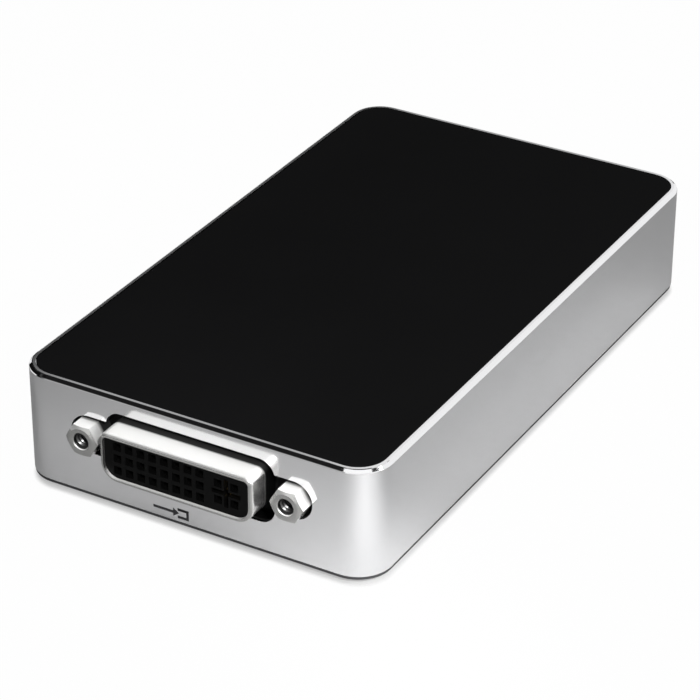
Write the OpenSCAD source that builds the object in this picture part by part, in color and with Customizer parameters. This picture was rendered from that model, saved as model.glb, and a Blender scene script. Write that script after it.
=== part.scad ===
// Video capture box: a milled aluminium case with a black panel let into its top. A DVI socket with two
// jack screws takes the picture in at the front; a data socket and two sound sockets are at the rear.
// Millimetres. +Z is up and the front faces -Y. The origin lies on the plane that the feet stand on,
// under the middle of the whole length, the front socket's collar included.

/* [Case] */
// Width of the case
case_w = 57.6; // [56:0.2:70]
// Length of the case from its front face to its rear face
case_l = 100; // [98:1:130]
// Radius of the upright corners
corner_r = 5.2; // [4:0.1:7]
// Thickness of the side walls
side_wall = 2; // [1.4:0.1:2.4]
// Thickness of the front wall
front_wall = 2.4; // [1.6:0.1:3]
// Thickness of the rear wall
rear_wall = 2; // [1.4:0.1:2.6]
// Thickness of the web under the top panel
web_t = 1.2; // [0.8:0.1:2]
// Bevel round the top edge
bevel = 0.45; // [0.3:0.05:0.8]
// Softening of the bevel's two edges, along each face that meets there
edge_soft = 0.08; // [0.05:0.01:0.2]
// Flat rim between the bevel and the recess of the top panel
rim_w = 0.5; // [0.4:0.05:1.5]
// Free height over the tallest socket
head_gap = 0.2; // [0.1:0.05:4]

/* [Top panel] */
// Thickness of the top panel
panel_t = 0.8; // [0.5:0.1:1.5]
// Thickness of the adhesive sheet under it
tape_t = 0.2; // [0.1:0.05:0.4]
// Gap between the panel and the rim
panel_gap = 0.08; // [0.04:0.02:0.2]
// Bevel on the upper edge of the panel
panel_bevel = 0.12; // [0.08:0.01:0.3]
// Softening of that bevel's two edges
panel_soft = 0.04; // [0.02:0.01:0.05]
// Width of the adhesive sheet's border and of its cross bar
tape_band = 7; // [3:0.5:9]

/* [Bottom cover] */
// Thickness of the cover
cover_t = 1.2; // [1:0.1:2]
// Height of the cover's edge that shows under the case
lip_t = 0.5; // [0.3:0.05:0.8]
// Setback of that edge from the faces of the case
lip_set = 0.1; // [0.05:0.05:0.5]
// Gap between the cover's step and the walls
cover_gap = 0.15; // [0.1:0.05:0.3]
// Height of the locating rib inside the walls
rib_h = 1; // [0.5:0.1:1.3]
// Thickness of the locating rib
rib_t = 1; // [0.6:0.1:1.6]
// Thickness of the insulating sheet on the cover
sheet_t = 0.15; // [0.1:0.05:0.2]
// Gap between the insulating sheet and the locating rib
sheet_gap = 0.3; // [0.2:0.05:0.8]

/* [Feet] */
// Diameter of a foot
foot_d = 8; // [6:0.5:10]
// Height of a foot under the cover
foot_h = 1; // [0.6:0.1:3]
// Depth of the pocket that a foot is stuck in
foot_sink = 0.4; // [0.2:0.05:0.6]
// Gap round a foot in its pocket
foot_gap = 0.1; // [0.05:0.05:0.3]
// Rounding of the lower edge of a foot
foot_round = 0.35; // [0.2:0.05:0.5]
// Distance of a foot's middle from the side of the case
foot_in_x = 11; // [9:0.5:14]
// Distance of a foot's middle from the end of the case
foot_in_y = 13; // [12:0.5:20]

/* [Screws] */
// Radius of the shanks of the cover and board screws
screw_r = 1; // [0.8:0.1:1.2]
// Gap round a shank in its tapped hole
thread_gap = 0.05; // [0.02:0.01:0.1]
// Gap round a shank or head in its clearance hole
screw_gap = 0.15; // [0.1:0.05:0.3]
// Radius of a screw head
head_r = 1.9; // [1.6:0.1:2.2]
// Height of a pan head
pan_h = 1.1; // [0.8:0.1:1.2]
// Length of a screw in its boss
screw_bite = 5; // [3:0.5:7]
// Depth of a tapped hole past the end of its screw
tap_run = 1; // [0.5:0.1:1.5]
// Width of the cross slot in a screw head
cross_w = 0.5; // [0.3:0.05:0.6]
// Length of the cross slot
cross_l = 2; // [1.4:0.1:2.4]
// Depth of the cross slot
cross_h = 0.6; // [0.4:0.05:0.7]
// Radius of the bosses for the cover screws
boss_r = 2.8; // [2.4:0.1:3.2]
// Depth to which a cover boss is sunk in the walls
boss_bite = 0.4; // [0.2:0.1:0.8]
// Radius of the bosses that the board is screwed to
post_r = 2.2; // [1.9:0.1:2.6]

/* [Board] */
// Thickness of the board
board_t = 1.2; // [0.8:0.1:1.6]
// Room between the cover and the board
under_gap = 1.6; // [1.5:0.1:3]
// Gap between the board and the walls and bosses
board_gap = 0.6; // [0.4:0.1:1]
// Distance of the board screws from the side edges of the board
post_in_x = 4.5; // [3.5:0.5:6]
// Distance of the front board screws from the front edge of the board
post_front = 18; // [17:0.5:22]
// Distance of the rear board screws from the rear edge of the board
post_rear = 19; // [18:0.5:24]
// Length of the contact tails under the board
tail_out = 0.8; // [0.4:0.1:1.1]
// Gap round a tail in its hole in the board
tail_gap = 0.15; // [0.1:0.05:0.25]

/* [DVI socket] */
// Height of the socket's axis over the board
dvi_axis = 6.1; // [5.8:0.1:8]
// Width of the collar
dvi_w = 24.6; // [24.2:0.1:25.4]
// Height of the collar
dvi_h = 7.6; // [7.4:0.1:8]
// Thickness of the collar's sheet
dvi_skin = 0.6; // [0.4:0.05:0.8]
// Length of the collar in front of its flange
dvi_l = 6.2; // [5.4:0.1:8]
// Outer radius of the upper corners of the collar
dvi_r_top = 1.3; // [1:0.1:1.6]
// Outer radius of the lower corners of the collar
dvi_r_low = 2.8; // [2:0.1:3]
// Rounding where the collar leaves its flange
dvi_root_r = 0.4; // [0.2:0.05:0.6]
// Width of the flange
flange_w = 37.4; // [37:0.2:39]
// Height of the flange
flange_h = 9.2; // [8.8:0.1:9.6]
// Thickness of the flange
flange_t = 0.5; // [0.4:0.05:0.8]
// Corner radius of the flange
flange_r = 1.5; // [0.5:0.1:2.5]
// Gap between the flange and the front wall
flange_gap = 0.05; // [0.02:0.01:0.2]
// Distance between the jack screws
jack_pitch = 33; // [32.8:0.1:33.4]
// Width of the window in the front wall
window_w = 27.2; // [26.6:0.1:27.8]
// Height of the window
window_h = 10.1; // [9.4:0.1:10.4]
// Corner radius of the window
window_r = 2.4; // [1.5:0.1:2.8]
// Distance of the middle of the window below the socket's axis
window_drop = 0.15; // [0:0.05:0.3]
// Radius of the round ends of the window at the jack screws
lobe_r = 2.98; // [2.8:0.02:3.2]

/* [DVI insulator and contacts] */
// Play between the insulator and the metal round it
dvi_fit = 0.05; // [0.02:0.01:0.1]
// Distance of the insulator's face behind the collar's edge
dvi_sink = 0.45; // [0.2:0.05:1]
// Width of the block behind the flange
block_w = 25; // [24.4:0.2:26]
// Length of the block behind the flange
block_l = 9; // [7:0.5:10]
// Height of the block over the axis
block_up = 4.4; // [4:0.1:4.5]
// Length of the ears that hold the threaded bushes
ear_l = 5.5; // [4.5:0.5:6.5]
// Pitch of the contacts, across and up
pin_pitch = 1.905; // [1.85:0.005:1.95]
// Distance of the first column left of the axis
pin_first = 9.6; // [9.2:0.1:9.8]
// Columns of signal contacts
pin_columns = 8; // [8:1:8]
// Rows of signal contacts
pin_rows = 3; // [3:1:3]
// Width of the mouth of a contact hole
mouth_w = 1.25; // [1.1:0.05:1.4]
// Depth of the mouth
mouth_l = 0.5; // [0.3:0.1:0.8]
// Width of a contact hole
cell_w = 0.9; // [0.8:0.05:1]
// Width and height of a contact
pin_w = 0.5; // [0.4:0.05:0.6]
// Distance of the contacts behind the insulator's face
pin_sink = 1.2; // [1:0.1:2]
// Distance of the analogue group from the last column of signal contacts
analog_gap = 4.2; // [4:0.1:4.6]
// Distance of the analogue contacts from the middle of their group
analog_pitch = 1.3; // [1.2:0.05:1.4]
// Width of the ground cross
ground_w = 4.6; // [4.4:0.1:5]
// Height of the ground cross
ground_h = 4.4; // [4:0.1:4.8]
// Width of the slots of the ground cross
ground_slot = 0.7; // [0.6:0.05:0.8]
// Thickness of the ground cross in its slots
ground_t = 0.4; // [0.3:0.05:0.5]
// Distance between the rows of tails
tail_pitch = 1.3; // [1.2:0.05:1.5]
// Distance of the first row of tails behind the block
tail_first = 0.8; // [0.6:0.1:1]
// Thickness of the rear shield
shield_t = 0.3; // [0.2:0.05:0.4]
// Width of the rear shield's legs
leg_w = 1.6; // [1.2:0.1:2]

/* [Jack screws] */
// Width of the hexagon across its flats
hex_af = 4.6; // [4.4:0.05:4.8]
// Length of the hexagon in front of the flange
hex_l = 4.6; // [3:0.1:6]
// Height of the chamfer at the front of the hexagon
hex_cone = 0.35; // [0.2:0.05:0.6]
// Radius of the threaded hole
jack_hole_r = 1.15; // [1:0.05:1.3]
// Depth of the threaded hole
jack_hole_l = 4; // [2.5:0.1:5]
// Countersink of the threaded hole
jack_sink = 0.2; // [0.1:0.05:0.4]
// Radius of the stud
stud_r = 1.4; // [1.2:0.05:1.5]
// Length of the stud in its threaded bush
stud_l = 4.5; // [3:0.5:5]
// Radius of the threaded bush
bush_r = 2.1; // [1.9:0.1:2.3]
// Length of the threaded bush
bush_l = 5; // [4:0.1:5.4]

/* [Data socket] */
// Place of the data socket right of the middle
usb_x = -12; // [-13:0.5:-11]
// Width of the shell
usb_w = 12; // [11.6:0.1:12.4]
// Height of the shell
usb_h = 11; // [10.8:0.1:12]
// Length of the shell
usb_l = 16.4; // [15:0.2:18]
// Sheet thickness of the shell
usb_skin = 0.35; // [0.3:0.05:0.5]
// Outer corner radius of the shell
usb_r = 0.8; // [0.6:0.1:1.2]
// Distance of a rear socket's mouth behind the rear face
mouth_sink = 0.15; // [0.05:0.05:0.4]
// Gap round a rear socket in the rear wall
port_gap = 0.25; // [0.15:0.05:0.4]
// Length of the insulator
usb_core_l = 12.4; // [11.6:0.2:13]
// Distance of the insulator's face behind the mouth
usb_core_sink = 0.4; // [0.2:0.1:0.8]
// Depth of the plug's cavity
usb_cave_l = 9; // [8:0.2:10]
// Width of the lower cavity
cave_w = 8.5; // [8.3:0.1:8.8]
// Height of the lower cavity
cave_h = 7.4; // [7.2:0.1:7.8]
// Slope at the shoulders of the lower cavity
cave_slope = 1.5; // [1.2:0.1:1.8]
// Width of the upper cavity
tower_w = 5.5; // [5.2:0.1:5.8]
// Height of the upper cavity
tower_h = 2.2; // [2:0.1:2.4]
// Distance of the cavity above the shell's floor
cave_up = 0.5; // [0.4:0.05:0.6]
// Width of the lower tongue
tongue_w = 5.6; // [5.4:0.1:5.8]
// Thickness of the lower tongue
tongue_t = 3.2; // [3:0.1:3.4]
// Width of the upper tongue
blade_w = 4.2; // [4:0.1:4.4]
// Thickness of the upper tongue
blade_t = 1; // [0.8:0.1:1.2]
// Distance of the tongues behind the insulator's face
tongue_sink = 1.2; // [0.8:0.1:2]
// Width of a power or data strip on the lower tongue
strip_w = 1; // [0.8:0.1:1.2]
// Distance of those strips from the middle
strip_x = 1.25; // [1:0.05:1.4]
// Width of a fast data strip on the upper tongue
fast_w = 0.45; // [0.35:0.05:0.5]
// Pitch of the fast data strips
fast_pitch = 0.8; // [0.75:0.05:0.85]
// Number of fast data strips
fast_count = 5; // [5:1:5]
// Rows of contact tails behind the insulator
usb_tail_rows = 3; // [3:1:3]
// Thickness of the strips
strip_t = 0.25; // [0.2:0.05:0.3]
// Gap round a strip in its groove
strip_gap = 0.05; // [0.02:0.01:0.08]

/* [Sound sockets] */
// Place of the line input right of the middle
line_x = 5; // [4:0.5:6]
// Place of the headphone output right of the middle
phone_x = 15; // [14:0.5:16]
// Radius of the plug's bore
plug_r = 1.8; // [1.75:0.01:1.9]
// Depth of the plug's bore
plug_l = 13; // [12:0.5:14]
// Radius of the nozzle in the rear wall
nozzle_r = 2.9; // [2.6:0.1:3.2]
// Width of the housing
jack_w = 6.6; // [6.2:0.1:7]
// Height of the housing
jack_h = 6; // [5.8:0.1:6.6]
// Height of the bore's axis over the board
jack_axis = 3; // [2.9:0.1:3.4]
// Length of the housing behind the rear wall
jack_l = 12; // [11.5:0.5:13]
// Thickness of the springs at the sides of the housing
spring_t = 0.3; // [0.2:0.05:0.4]
// Height of the springs
spring_h = 2; // [1.4:0.1:2.4]
// Length of the springs
spring_l = 3; // [2.4:0.1:3.6]
// Distance between the springs of one side
spring_pitch = 5; // [4.5:0.1:5.5]
// Width of the tail of a spring
spring_tail = 0.8; // [0.6:0.1:1]

/* [Light pipe] */
// Place of the light pipe right of the middle
pipe_x = -2.6; // [-3:0.1:-2]
// Radius of the light pipe
pipe_r = 1; // [0.8:0.1:1.2]
// Gap round the light pipe in the rear wall
pipe_gap = 0.08; // [0.05:0.01:0.2]
// Height of its axis over the board
pipe_axis = 3; // [2.4:0.1:4]
// Length of the light pipe behind the rear face
pipe_l = 8; // [6:0.5:10]
// Light emitting diode: width, length, height
led = [1.6, 0.8, 0.6]; // [0.4:0.1:2]
// Gap between the diode and the light pipe
led_gap = 0.15; // [0.1:0.05:0.3]

/* [Board parts] */
// Distance between two parts that stand side by side
chip_gap = 2.4; // [2:0.1:2.8]
// Distance between the two parts of a pair beside the video receiver
pair_gap = 1.2; // [0.8:0.1:2]
// Radius of the notch at a chip's first contact, as a share of the chip's shorter side
mark_share = 0.06; // [0.04:0.01:0.08]
// Distance of that notch from the chip's edges, in its own radii
mark_in = 3; // [2:0.5:4]
// Main chip: width, length, height
main_size = [17, 17, 1.9]; // [1:0.1:20]
// Thickness of the main chip's carrier
carrier_t = 0.6; // [0.4:0.1:0.9]
// Setback of the main chip's cap from the edge of its carrier
cap_set = 0.8; // [0.4:0.1:1.5]
// Thickness of the thermal pad on the main chip
pad_t = 1; // [0.5:0.1:2]
// Width of the thermal pad and of the pedestal over it
pad_w = 14; // [10:0.5:15]
// Memory chip: width, length, height
memory_size = [8, 12, 1.2]; // [1:0.1:14]
// Video receiver: width, length, height
receiver_size = [14, 14, 1.6]; // [1:0.1:16]
// Leads along one side of the video receiver
receiver_leads = 13; // [8:1:16]
// Pitch of the video receiver's leads
receiver_pitch = 1; // [0.6:0.1:1]
// Data chip: width, length, height
usb_chip_size = [10, 10, 1.2]; // [1:0.1:12]
// Sound chip: width, length, height
sound_size = [6, 6, 1]; // [0.8:0.1:8]
// Flash memory: width, length, height
flash_size = [5.2, 5.3, 1.9]; // [1:0.1:7]
// Leads along one side of the flash memory
flash_leads = 4; // [4:1:4]
// Pitch of the flash memory's leads
flash_pitch = 1.27; // [1.2:0.01:1.27]
// Regulator: width, length, height
regulator_size = [6.5, 3.5, 1.6]; // [1:0.1:7]
// Leads along the front of a regulator
regulator_leads = 3; // [3:1:3]
// Pitch of a regulator's leads
regulator_pitch = 2.3; // [2:0.1:2.3]
// Width of a lead
lead_w = 0.4; // [0.3:0.05:0.5]
// Reach of a lead from its chip
lead_l = 1; // [0.8:0.1:1.2]
// Share of a lead's reach that lies before its knee
knee_share = 0.33; // [0.25:0.01:0.4]
// Thickness of a lead
lead_t = 0.15; // [0.1:0.05:0.25]
// Choke: width, length, height
choke_size = [6, 6, 3]; // [1:0.1:8]
// Crystal: width, length, height
crystal_size = [3.2, 2.5, 0.8]; // [0.5:0.1:4]
// Diameter of a polymer capacitor
poly_d = 6.3; // [5:0.1:6.6]
// Height of a polymer capacitor
poly_h = 5.8; // [4:0.1:8]
// Height of the base of a polymer capacitor
poly_base = 0.8; // [0.5:0.1:1.2]
// Polymer capacitors in their row
poly_count = 3; // [1:1:3]
// Pitch of the polymer capacitors
poly_pitch = 7.6; // [7.4:0.1:8]
// Ceramic capacitor: width, length, height
ceramic_size = [0.8, 1.6, 0.8]; // [0.4:0.1:1.8]
// Resistor: width, length, height
resistor_size = [0.8, 1.6, 0.5]; // [0.3:0.1:1.8]
// Pitch of the small parts in a row
small_pitch = 2; // [1.6:0.1:2.4]
// Small parts in a row
small_count = 7; // [4:1:8]
// Surge array: width, length, height
surge_size = [2.5, 1.2, 0.6]; // [0.4:0.1:3]
// Surge arrays in their row
surge_count = 4; // [2:1:4]
// Pitch of the surge arrays
surge_pitch = 6; // [5:0.5:7]

/* [Hidden] */
$fn = 48;
// Overrun of a cut past the face it opens
over = 1;

// Heights
shield_top = block_up + dvi_fit + shield_t;
room_h = max(usb_h, dvi_axis + shield_top) + head_gap;
z_cover = foot_h;
z_shell = z_cover + lip_t;
z_plate = z_cover + cover_t;
z_board = z_plate + under_gap;
z_deck = z_board + board_t;
z_web = z_deck + room_h;
z_floor = z_web + web_t;
z_top = z_floor + tape_t + panel_t;
z_dvi = z_deck + dvi_axis;
z_jack = z_deck + jack_axis;
z_pipe = z_deck + pipe_axis;
z_tail = z_board - tail_out;

// Lengths, with the collar in front counted in
dvi_out = dvi_l - flange_gap - front_wall;
y_front = -case_l / 2 + dvi_out / 2;
y_rear = case_l / 2 + dvi_out / 2;
y_mid = (y_front + y_rear) / 2;
y_in_front = y_front + front_wall;
y_in_rear = y_rear - rear_wall;
y_in_mid = (y_in_front + y_in_rear) / 2;
in_w = case_w - 2 * side_wall;
in_l = y_in_rear - y_in_front;
in_r = corner_r - side_wall;

// Recess of the top panel
recess_in = bevel + rim_w;
panel_in = recess_in + panel_gap;

// Screws and bosses
boss_x = in_w / 2 - boss_r + boss_bite;
boss_front = y_in_front + boss_r - boss_bite;
boss_rear = y_in_rear - boss_r + boss_bite;
boss_places = [for (x = [-boss_x, boss_x], y = [boss_front, boss_rear]) [x, y]];
tap_r = screw_r + thread_gap;
pass_r = screw_r + screw_gap;
sink_h = head_r - screw_r;
board_w = in_w - 2 * board_gap;
board_front = y_in_front + board_gap;
board_rear = y_in_rear - board_gap;
post_x = board_w / 2 - post_in_x;
post_places = [for (x = [-post_x, post_x], y = [board_front + post_front, board_rear - post_rear]) [x, y]];
foot_places = [for (x = [-1, 1], y = [-1, 1])
    [x * (case_w / 2 - foot_in_x), y_mid + y * (case_l / 2 - foot_in_y)]];

// DVI socket
y_flange = y_in_front + flange_gap;
y_block = y_flange + flange_t;
y_block_back = y_block + block_l;
y_shield = y_block + ear_l + dvi_fit;
y_shield_back = y_block_back + tail_first + pin_rows * tail_pitch + shield_t;
core_w = dvi_w - 2 * (dvi_skin + dvi_fit);
core_h = dvi_h - 2 * (dvi_skin + dvi_fit);
core_l = dvi_l - dvi_sink;
analog_x = (pin_columns - 1) * pin_pitch - pin_first + analog_gap;
// Places of the single contacts: across, up from the axis, and the row of tails they run down to
signal_pins = [for (c = [0 : pin_columns - 1], r = [0 : pin_rows - 1])
    [c * pin_pitch - pin_first, (r - 1) * pin_pitch, r]];
analog_pins = [for (x = [-1, 1], r = [0, 2]) [analog_x + x * analog_pitch, (r - 1) * analog_pitch, r]];
pins = concat(signal_pins, analog_pins);
ground_pin = [analog_x, 0, 1];
shield_x = block_w / 2 + dvi_fit + shield_t / 2;
shield_legs = [for (x = [-shield_x, shield_x], y = [y_shield + leg_w, y_shield_back - leg_w]) [x, y]];

// Data socket
y_usb = y_rear - mouth_sink;
y_usb_back = y_usb - usb_l;
y_core = y_usb - usb_core_sink;
y_core_back = y_core - usb_core_l;
usb_in_w = usb_w - 2 * usb_skin;
usb_in_h = usb_h - 2 * usb_skin;
tongue_up = cave_up + cave_h / 2;
blade_up = cave_up + cave_h + tower_h / 2;
strip_low = tongue_up - tongue_t / 2 - strip_t / 2;
strip_high = tongue_up + tongue_t / 2 + strip_t / 2;
strip_fast = blade_up - blade_t / 2 - strip_t / 2;
// Strips of the data socket: across, up from the shell's floor, width, and the row of tails
strips = concat(
    [for (x = [-strip_x, strip_x]) [x, strip_low, strip_w, 0]],
    [for (x = [-strip_x, strip_x]) [x, strip_high, strip_w, 1]],
    [for (i = [0 : fast_count - 1]) [(i - (fast_count - 1) / 2) * fast_pitch, strip_fast, fast_w, 2]]);
usb_tail_pitch = (usb_l - usb_core_sink - usb_core_l) / (usb_tail_rows + 1);
usb_legs = [for (x = [-1, 1], y = [y_core_back + leg_w, y_in_rear - 2 * leg_w])
    [usb_x + x * (usb_w - usb_skin) / 2, y]];

// Sound sockets
y_jack = y_in_rear - port_gap;
y_jack_back = y_jack - jack_l;
spring_side = jack_w / 2 + spring_t / 2;
jack_springs = [for (j = [line_x, phone_x], s = [-1, 1], i = [0, 1])
    [j + s * spring_side, y_jack_back + spring_l / 2 + spring_t + i * spring_pitch]];

// Places of the board parts, in rows that share out the free length between the DVI and the data socket
row_lengths = [surge_size.y, resistor_size.y, receiver_size.y + 2 * lead_l, main_size.y,
    max(poly_d, flash_size.y), usb_chip_size.y];
function sum_to(list, last) = last < 0 ? 0 : list[last] + sum_to(list, last - 1);
row_gap = (y_usb_back - y_shield_back - sum_to(row_lengths, len(row_lengths) - 1)) / (len(row_lengths) + 1);
function row_y(i) = y_shield_back + (i + 1) * row_gap + sum_to(row_lengths, i - 1) + row_lengths[i] / 2;
surge_y = row_y(0);
resistor_y = row_y(1);
receiver_y = row_y(2);
y_main = row_y(3);
poly_y = row_y(4);
usb_chip_y = row_y(5);
memory_x = main_size.x / 2 + chip_gap + memory_size.x / 2;
flash_x = -memory_x;
sound_x = (line_x + phone_x) / 2;
sound_y = y_jack_back - chip_gap - sound_size.y / 2;
side_x = receiver_size.x / 2 + lead_l + chip_gap + choke_size.x / 2;
side_y = (choke_size.y + pair_gap) / 2;
ceramic_x = (main_size.x + chip_gap) / 2;
crystal_places = [[flash_x + flash_size.x / 2 + lead_l + chip_gap + crystal_size.x / 2, poly_y],
    [usb_x + (usb_chip_size.x + crystal_size.x) / 2 + chip_gap, usb_chip_y]];

// Outline with rounded corners, of radius r_far at its +Y side and r_near at its -Y side
module outline(w, l, r_far, r_near) {
    translate([-w / 2 + r_near, -l / 2]) square([w - 2 * r_near, l - r_far]);
    translate([-w / 2 + r_far, 0]) square([w - 2 * r_far, l / 2]);
    translate([-w / 2, -l / 2 + r_near]) square([w, l - r_far - r_near]);
    for (x = [-1, 1]) {
        translate([x * (w / 2 - r_near), -l / 2 + r_near]) circle(r_near);
        translate([x * (w / 2 - r_far), l / 2 - r_far]) circle(r_far);
    }
}

// Runs a profile round that outline: x is its distance outside the outline, y is its height
module run_round(w, l, r_far, r_near) {
    side_l = l - r_far - r_near;
    for (x = [0, 1])
        translate([(1 - 2 * x) * w / 2, (r_near - r_far) / 2, 0])
            rotate([90, 0, x * 180]) translate([0, 0, -side_l / 2]) linear_extrude(side_l) children();
    for (end = [[1, r_far], [-1, r_near]])
        translate([0, end[0] * l / 2, 0]) rotate([90, 0, end[0] * 90])
            translate([0, 0, -w / 2 + end[1]]) linear_extrude(w - 2 * end[1]) children();
    for (c = [[1, 1, r_far, 0], [-1, 1, r_far, 90], [-1, -1, r_near, 180], [1, -1, r_near, 270]])
        translate([c[0] * (w / 2 - c[2]), c[1] * (l / 2 - c[2]), 0])
            rotate(c[3]) rotate_extrude(angle = 90) translate([c[2], 0]) children();
}

// Plate with the case's plan, drawn in by inset on every side
module case_plate(inset, z, h) {
    translate([0, y_mid, z]) linear_extrude(h)
        outline(case_w - 2 * inset, case_l - 2 * inset, corner_r - inset, corner_r - inset);
}

// Plate with the plan of the hollow inside the walls, drawn in by inset on every side
module hollow_plate(inset, z, h) {
    translate([0, y_in_mid, z]) linear_extrude(h)
        outline(in_w - 2 * inset, in_l - 2 * inset, in_r - inset, in_r - inset);
}

// Runs a cutter's profile round the upper edge of a plate that reaches z_top
module edge_cut(inset) {
    translate([0, y_mid, z_top])
        run_round(case_w - 2 * inset, case_l - 2 * inset, corner_r - inset, corner_r - inset) children();
}

// Profile that leaves a bevel whose own two edges are softened
module soft_bevel(cut, soft) {
    diagonal = soft * sqrt(1 / 2);
    polygon([[-cut - soft, over], [-cut - soft, 0], [diagonal - cut, -diagonal], [-diagonal, diagonal - cut],
        [0, -cut - soft], [over, -cut - soft], [over, over]]);
}

// Box on the board's upper face, centred on a place
module on_board(place, size) {
    translate([place.x - size.x / 2, place.y - size.y / 2, z_deck]) cube(size);
}

// Stands an outline up to face the front, its height running forward from y
module facing_front(y) {
    translate([0, y, z_dvi]) rotate([90, 0, 0]) children();
}

// Cylinder along Y from y0 to y1
module along_y(x, z, y0, y1, r) {
    translate([x, y1, z]) rotate([90, 0, 0]) cylinder(h = y1 - y0, r = r);
}

// Box between two Y planes, centred at x and z
module beam(x, z, y0, y1, w, h) {
    translate([x - w / 2, y0, z - h / 2]) cube([w, y1 - y0, h]);
}

// Cross slot for a driver, cut down from z = 0
module cross_slot() {
    for (turn = [0, 90])
        rotate(turn) translate([-cross_l / 2, -cross_w / 2, -cross_h])
            cube([cross_l, cross_w, cross_h + over]);
}

// Row of bent leads along one side of a chip, which stands at y = 0 and faces +Y
module leads(count, pitch, rise) {
    knee = lead_l * knee_share;
    for (i = [0 : count - 1])
        translate([(i - (count - 1) / 2) * pitch - lead_w / 2, 0, z_deck]) rotate([90, 0, 90])
            linear_extrude(lead_w)
                polygon([[-lead_t, rise], [knee, rise], [2 * knee, lead_t], [lead_l, lead_t], [lead_l, 0],
                    [2 * knee - lead_t, 0], [knee - lead_t, rise - lead_t], [-lead_t, rise - lead_t]]);
}

// Chip with a notch that marks its first contact
module chip(place, size) {
    mark_r = min(size.x, size.y) * mark_share;
    mark_set = mark_in * mark_r;
    difference() {
        on_board(place, size);
        translate([place.x - size.x / 2 + mark_set, place.y - size.y / 2 + mark_set, z_deck + size.z])
            cylinder(h = mark_r, r = mark_r, center = true);
    }
}

module body_shell() {
    color("silver") difference() {
        union() {
            difference() {
                case_plate(0, z_shell, z_top - z_shell);
                edge_cut(0) soft_bevel(bevel, edge_soft);
                case_plate(recess_in, z_floor, z_top - z_floor + over);
                hollow_plate(0, z_shell - over, z_web - z_shell + over);
            }
            for (p = boss_places)
                translate([p.x, p.y, z_plate]) cylinder(h = z_floor - z_plate - web_t / 2, r = boss_r);
            for (p = post_places)
                translate([p.x, p.y, z_deck]) cylinder(h = z_floor - z_deck - web_t / 2, r = post_r);
            translate([0, 0, main_size.z + pad_t])
                on_board([0, y_main], [pad_w, pad_w, room_h - main_size.z - pad_t + web_t / 2]);
        }
        for (p = boss_places)
            translate([p.x, p.y, z_plate - over]) cylinder(h = screw_bite + tap_run + over, r = tap_r);
        for (p = post_places)
            translate([p.x, p.y, z_deck - over]) cylinder(h = screw_bite + tap_run + over, r = tap_r);
        front_window();
        rear_ports();
    }
}

// Window for the DVI socket, with a round end at each jack screw
module front_window() {
    translate([0, y_in_front + over, z_dvi]) rotate([90, 0, 0]) linear_extrude(front_wall + 2 * over) {
        translate([0, -window_drop]) outline(window_w, window_h, window_r, window_r);
        translate([-jack_pitch / 2, -lobe_r]) square([jack_pitch, 2 * lobe_r]);
        for (x = [-1, 1]) translate([x * jack_pitch / 2, 0]) circle(lobe_r);
    }
}

// Openings of the rear sockets and the light pipe
module rear_ports() {
    translate([usb_x, y_rear + over, z_deck + usb_h / 2]) rotate([90, 0, 0])
        linear_extrude(rear_wall + 2 * over)
            outline(usb_w + 2 * port_gap, usb_h + 2 * port_gap, usb_r + port_gap, usb_r + port_gap);
    for (x = [line_x, phone_x])
        along_y(x, z_jack, y_in_rear - over, y_rear + over, nozzle_r + port_gap);
    along_y(pipe_x, z_pipe, y_in_rear - over, y_rear + over, pipe_r + pipe_gap);
}

module top_panel() {
    color([0.04, 0.04, 0.045]) difference() {
        case_plate(panel_in, z_floor + tape_t, panel_t);
        edge_cut(panel_in) soft_bevel(panel_bevel, panel_soft);
    }
}

module panel_tape() {
    window_end = case_l / 2 - panel_in - tape_band;
    window_start = tape_band / 2;
    color("dimgray") difference() {
        case_plate(panel_in, z_floor, tape_t);
        for (y = [-1, 1])
            translate([0, y_mid + y * (window_end + window_start) / 2, z_floor - over])
                linear_extrude(tape_t + 2 * over)
                    square([case_w - 2 * (panel_in + tape_band), window_end - window_start], center = true);
    }
}

module bottom_cover() {
    color([0.06, 0.06, 0.065]) difference() {
        union() {
            case_plate(lip_set, z_cover, lip_t);
            hollow_plate(cover_gap, z_cover, cover_t);
            difference() {
                hollow_plate(cover_gap, z_cover, cover_t + rib_h);
                hollow_plate(cover_gap + rib_t, z_plate, rib_h + over);
                for (p = boss_places)
                    translate([p.x, p.y, z_plate]) cylinder(h = rib_h + over, r = boss_r + cover_gap);
            }
        }
        for (p = boss_places) translate([p.x, p.y, z_cover]) {
            translate([0, 0, -over]) cylinder(h = cover_t + 2 * over, r = pass_r);
            cylinder(h = sink_h, r1 = head_r + thread_gap, r2 = screw_r + thread_gap);
            translate([0, 0, -over]) cylinder(h = over, r = head_r + thread_gap);
        }
        for (p = foot_places)
            translate([p.x, p.y, z_cover - over]) cylinder(h = foot_sink + over, d = foot_d + 2 * foot_gap);
    }
}

module rubber_feet() {
    foot_r = foot_d / 2;
    color([0.1, 0.1, 0.1]) for (p = foot_places) translate([p.x, p.y, 0]) rotate_extrude() {
        square([foot_r - foot_round, foot_h + foot_sink]);
        translate([0, foot_round]) square([foot_r, foot_h + foot_sink - foot_round]);
        translate([foot_r - foot_round, foot_round]) circle(foot_round);
    }
}

module cover_screws() {
    color("dimgray") for (p = boss_places) translate([p.x, p.y, z_cover]) difference() {
        rotate_extrude() polygon([[0, 0], [head_r, 0], [screw_r, sink_h], [screw_r, cover_t + screw_bite],
            [0, cover_t + screw_bite]]);
        mirror([0, 0, 1]) cross_slot();
    }
}

module insulating_sheet() {
    color("khaki") difference() {
        hollow_plate(cover_gap + rib_t + sheet_gap, z_plate, sheet_t);
        for (p = boss_places)
            translate([p.x, p.y, z_plate - over]) cylinder(h = sheet_t + 2 * over, r = boss_r + sheet_gap);
    }
}

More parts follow.
